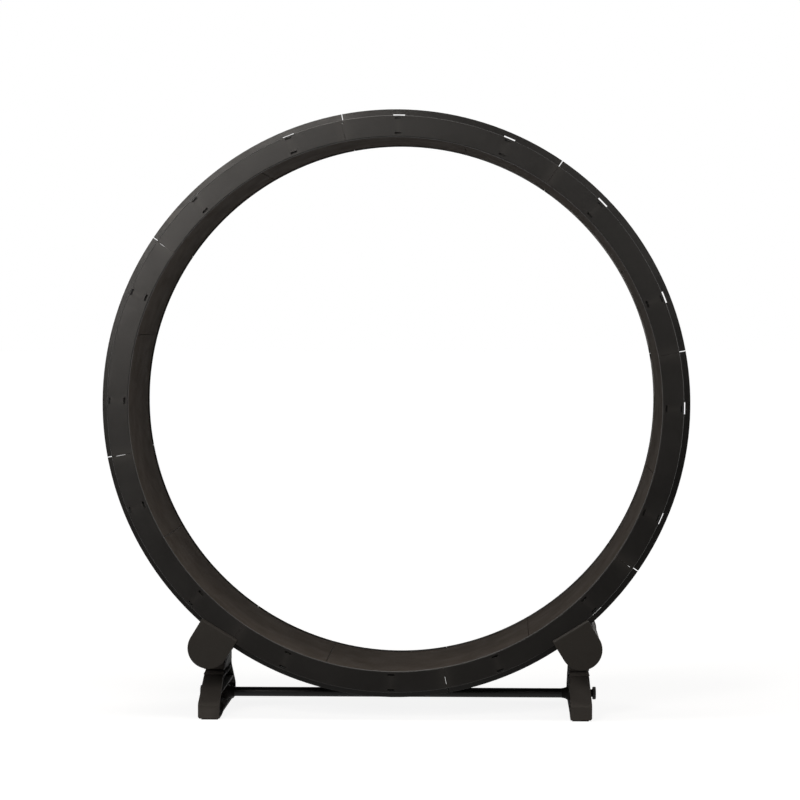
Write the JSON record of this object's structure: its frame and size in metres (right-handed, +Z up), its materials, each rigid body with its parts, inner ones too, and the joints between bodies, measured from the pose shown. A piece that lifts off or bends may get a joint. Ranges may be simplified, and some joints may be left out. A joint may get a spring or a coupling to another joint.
{
  "type": "cat exercise wheel",
  "caption": "Large open exercise wheel for a cat: a segmented track between two slotted rims, resting on rollers in two low stands that a tie bar joins.",
  "frame": {"origin": "on the floor, under the middle of the wheel", "axes": "+Z up; the wheel's axis runs along Y; the front looks towards -Y; +X to the right as seen from the front"},
  "size_m": [1, 0.311, 1.0346],
  "materials": {
    "rim": "satin black, finely grained",
    "track": "satin black, finely grained",
    "mat": "soft matte, brownish black foam",
    "roller": "matte",
    "shaft": "bright turned steel",
    "stand": "satin black, moulded",
    "cover": "satin black, moulded",
    "knob": "satin black, moulded",
    "pad": "matte soft",
    "tie_tube": "satin black"
  },
  "bodies": {
    "base": {"right_stand": "stand", "left_stand": "stand", "roller_covers": "cover", "foot_pads": "pad", "tie_tube": "tie_tube", "tie_rod": "shaft", "tie_knobs": "knob"},
    "wheel": {"front_rim_segments": "rim", "rear_rim_segments": "rim", "track_plate_1": "track", "track_plate_2": "track", "track_plate_3": "track", "track_plate_4": "track", "track_plate_5": "track", "track_plate_6": "track", "track_plate_7": "track", "track_plate_8": "track", "running_mats": "mat"},
    "right_roller": {"right_roller_shaft": "shaft", "right_rollers": "roller"},
    "left_roller": {"left_roller_shaft": "shaft", "left_rollers": "roller"}
  },
  "joints": [
    {"name": "wheel_spin", "type": "hinge", "parent": "base", "child": "wheel", "pos_m": [0, 0, 0.5346], "axis": [0, 1, 0], "continuous": true},
    {"name": "right_roller_spin", "type": "hinge", "parent": "base", "child": "right_roller", "pos_m": [0.3137, 0, 0.12579], "axis": [0, 1, 0], "continuous": true},
    {"name": "left_roller_spin", "type": "hinge", "parent": "base", "child": "left_roller", "pos_m": [-0.3137, 0, 0.12579], "axis": [0, 1, 0], "continuous": true}
  ],
  "couplings": [
    {"joint": "right_roller_spin", "follows": "wheel_spin", "ratio": -17.393},
    {"joint": "left_roller_spin", "follows": "wheel_spin", "ratio": -17.393}
  ]
}
